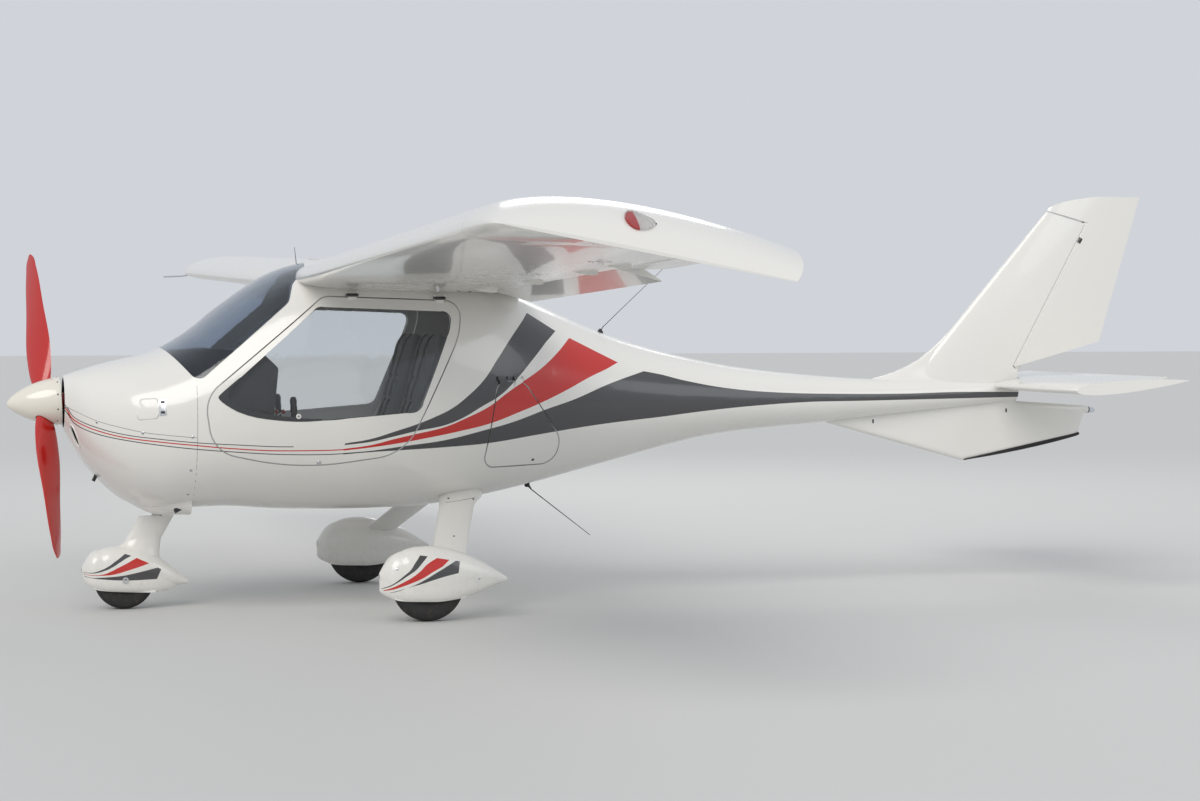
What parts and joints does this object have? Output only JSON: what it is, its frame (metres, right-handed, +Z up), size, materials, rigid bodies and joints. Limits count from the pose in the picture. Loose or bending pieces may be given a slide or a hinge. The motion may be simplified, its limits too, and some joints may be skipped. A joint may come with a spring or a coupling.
{
  "type": "ultralight aircraft",
  "caption": "High-wing side-by-side light aircraft with a tractor propeller, faired fixed nosewheel gear, top-hinged cabin doors and an all-moving tailplane.",
  "frame": {"origin": "middle of the overall length and span, on the ground under the tyres", "axes": "-X to the nose, -Y to the left wing tip, +Z up"},
  "size_m": [6.22, 9.31, 2.144],
  "materials": {
    "fuselage": "gloss white composite",
    "windshield": "clear moulded pane",
    "door_left": "gloss white composite",
    "door_right": "gloss white composite",
    "door_window_left": "clear moulded pane",
    "door_window_right": "clear moulded pane",
    "hatch_left": "gloss white composite",
    "hatch_right": "gloss white composite",
    "cowl_upper": "gloss white composite",
    "cowl_lower": "gloss white composite",
    "engine": "dark block",
    "propeller": "dark red paint",
    "spinner": "gloss cream",
    "wing_left": "gloss white composite",
    "wing_right": "gloss white composite",
    "flap_left": "gloss white composite",
    "flap_right": "gloss white composite",
    "aileron_left": "gloss white composite",
    "aileron_right": "gloss white composite",
    "fin": "gloss white composite",
    "rudder": "gloss white composite",
    "ventral_fin": "gloss white composite",
    "tail_skid": "worn black rubber",
    "stabilator": "gloss white composite",
    "trim_tab": "gloss white composite",
    "main_leg_left": "gloss white composite",
    "main_leg_right": "gloss white composite",
    "main_spat_left": "gloss white composite",
    "main_spat_right": "gloss white composite",
    "main_tyre_left": "black rubber",
    "main_tyre_right": "black rubber",
    "main_rim_left": "machined aluminium",
    "main_rim_right": "machined aluminium",
    "nose_leg": "gloss white composite",
    "nose_spat": "gloss white composite",
    "nose_axle": "plain steel",
    "nose_tyre": "black rubber",
    "nose_rim": "machined aluminium",
    "nose_mount": "dark painted steel",
    "instrument_panel": "matte black",
    "seat_pan": "grey composite",
    "seat_left": "grey fabric",
    "seat_right": "grey fabric",
    "centre_console": "matte dark grey"
  },
  "bodies": {
    "airframe": {"fuselage": "fuselage", "windshield": "windshield", "cowl_upper": "cowl_upper", "cowl_lower": "cowl_lower", "engine": "engine", "wing_left": "wing_left", "wing_right": "wing_right", "fin": "fin", "ventral_fin": "ventral_fin", "tail_skid": "tail_skid", "main_leg_left": "main_leg_left", "main_leg_right": "main_leg_right", "main_spat_left": "main_spat_left", "main_spat_right": "main_spat_right", "nose_mount": "nose_mount", "instrument_panel": "instrument_panel", "seat_pan": "seat_pan", "seat_left": "seat_left", "seat_right": "seat_right", "centre_console": "centre_console"},
    "door_left": {"door_left": "door_left", "door_window_left": "door_window_left"},
    "door_right": {"door_right": "door_right", "door_window_right": "door_window_right"},
    "hatch_left": {"hatch_left": "hatch_left"},
    "hatch_right": {"hatch_right": "hatch_right"},
    "propeller": {"propeller": "propeller", "spinner": "spinner"},
    "flap_left": {"flap_left": "flap_left"},
    "flap_right": {"flap_right": "flap_right"},
    "aileron_left": {"aileron_left": "aileron_left"},
    "aileron_right": {"aileron_right": "aileron_right"},
    "rudder": {"rudder": "rudder"},
    "stabilator": {"stabilator": "stabilator"},
    "trim_tab": {"trim_tab": "trim_tab"},
    "nose_gear": {"nose_leg": "nose_leg", "nose_spat": "nose_spat", "nose_axle": "nose_axle"},
    "nose_wheel": {"nose_tyre": "nose_tyre", "nose_rim": "nose_rim"},
    "main_wheel_left": {"main_tyre_left": "main_tyre_left", "main_rim_left": "main_rim_left"},
    "main_wheel_right": {"main_tyre_right": "main_tyre_right", "main_rim_right": "main_rim_right"}
  },
  "joints": [
    {"name": "propeller_spin", "type": "hinge", "parent": "airframe", "child": "propeller", "pos_m": [-2.93224, 0, 1.04632], "axis": [0.9986, 0, 0.0523], "continuous": true},
    {"name": "door_left_hinge", "type": "hinge", "parent": "airframe", "child": "door_left", "pos_m": [-1.47, -0.547, 1.57737], "axis": [-0.9978, -0.0572, 0.0327], "range_deg": [0, 70]},
    {"name": "door_right_hinge", "type": "hinge", "parent": "airframe", "child": "door_right", "pos_m": [-1.47, 0.547, 1.57737], "axis": [0.9978, -0.0572, -0.0327], "range_deg": [0, 70]},
    {"name": "hatch_left_hinge", "type": "hinge", "parent": "airframe", "child": "hatch_left", "pos_m": [-0.708, -0.56127, 1.1586], "axis": [-0.9606, -0.2778, 0.013], "range_deg": [0, 80]},
    {"name": "hatch_right_hinge", "type": "hinge", "parent": "airframe", "child": "hatch_right", "pos_m": [-0.708, 0.56127, 1.1586], "axis": [0.9606, -0.2778, -0.013], "range_deg": [0, 80]},
    {"name": "flap_left_hinge", "type": "hinge", "parent": "airframe", "child": "flap_left", "pos_m": [-0.72435, -0.47, 1.62803], "axis": [0.0097, 0.9995, -0.0299], "range_deg": [-27, 25]},
    {"name": "flap_right_hinge", "type": "hinge", "parent": "airframe", "child": "flap_right", "pos_m": [-0.72435, 0.47, 1.62803], "axis": [-0.0097, 0.9995, 0.0299], "range_deg": [-27, 25]},
    {"name": "aileron_left_hinge", "type": "hinge", "parent": "airframe", "child": "aileron_left", "pos_m": [-0.76058, -4.215, 1.74013], "axis": [0.0097, 0.9995, -0.0299], "range_deg": [-20, 20]},
    {"name": "aileron_right_hinge", "type": "hinge", "parent": "airframe", "child": "aileron_right", "pos_m": [-0.76058, 4.215, 1.74013], "axis": [-0.0097, 0.9995, 0.0299], "range_deg": [-20, 20]},
    {"name": "rudder_hinge", "type": "hinge", "parent": "airframe", "child": "rudder", "pos_m": [2.334, 0, 1.196], "axis": [0.4873, 0, 0.8732], "range_deg": [-28, 28]},
    {"name": "stabilator_pivot", "type": "hinge", "parent": "airframe", "child": "stabilator", "pos_m": [2.308, 0, 1.09759], "axis": [0, 1, 0], "range_deg": [-15, 8]},
    {"name": "trim_tab_hinge", "type": "hinge", "parent": "stabilator", "child": "trim_tab", "pos_m": [2.74229, 0, 1.13287], "axis": [0, 1, 0], "range_deg": [-15, 15]},
    {"name": "nose_steering", "type": "hinge", "parent": "airframe", "child": "nose_gear", "pos_m": [-2.473, 0, 0.298], "axis": [0.4961, 0, 0.8682], "range_deg": [-12, 12]},
    {"name": "nose_wheel_spin", "type": "hinge", "parent": "nose_gear", "child": "nose_wheel", "pos_m": [-2.539, 0, 0.15], "axis": [0, 1, 0], "continuous": true},
    {"name": "main_wheel_left_spin", "type": "hinge", "parent": "airframe", "child": "main_wheel_left", "pos_m": [-1.171, -0.925, 0.175], "axis": [0, 1, 0], "continuous": true},
    {"name": "main_wheel_right_spin", "type": "hinge", "parent": "airframe", "child": "main_wheel_right", "pos_m": [-1.171, 0.925, 0.175], "axis": [0, 1, 0], "continuous": true}
  ],
  "couplings": [
    {"joint": "flap_right_hinge", "follows": "flap_left_hinge", "ratio": 1},
    {"joint": "aileron_right_hinge", "follows": "aileron_left_hinge", "ratio": -1},
    {"joint": "trim_tab_hinge", "follows": "stabilator_pivot", "ratio": 0.8}
  ]
}
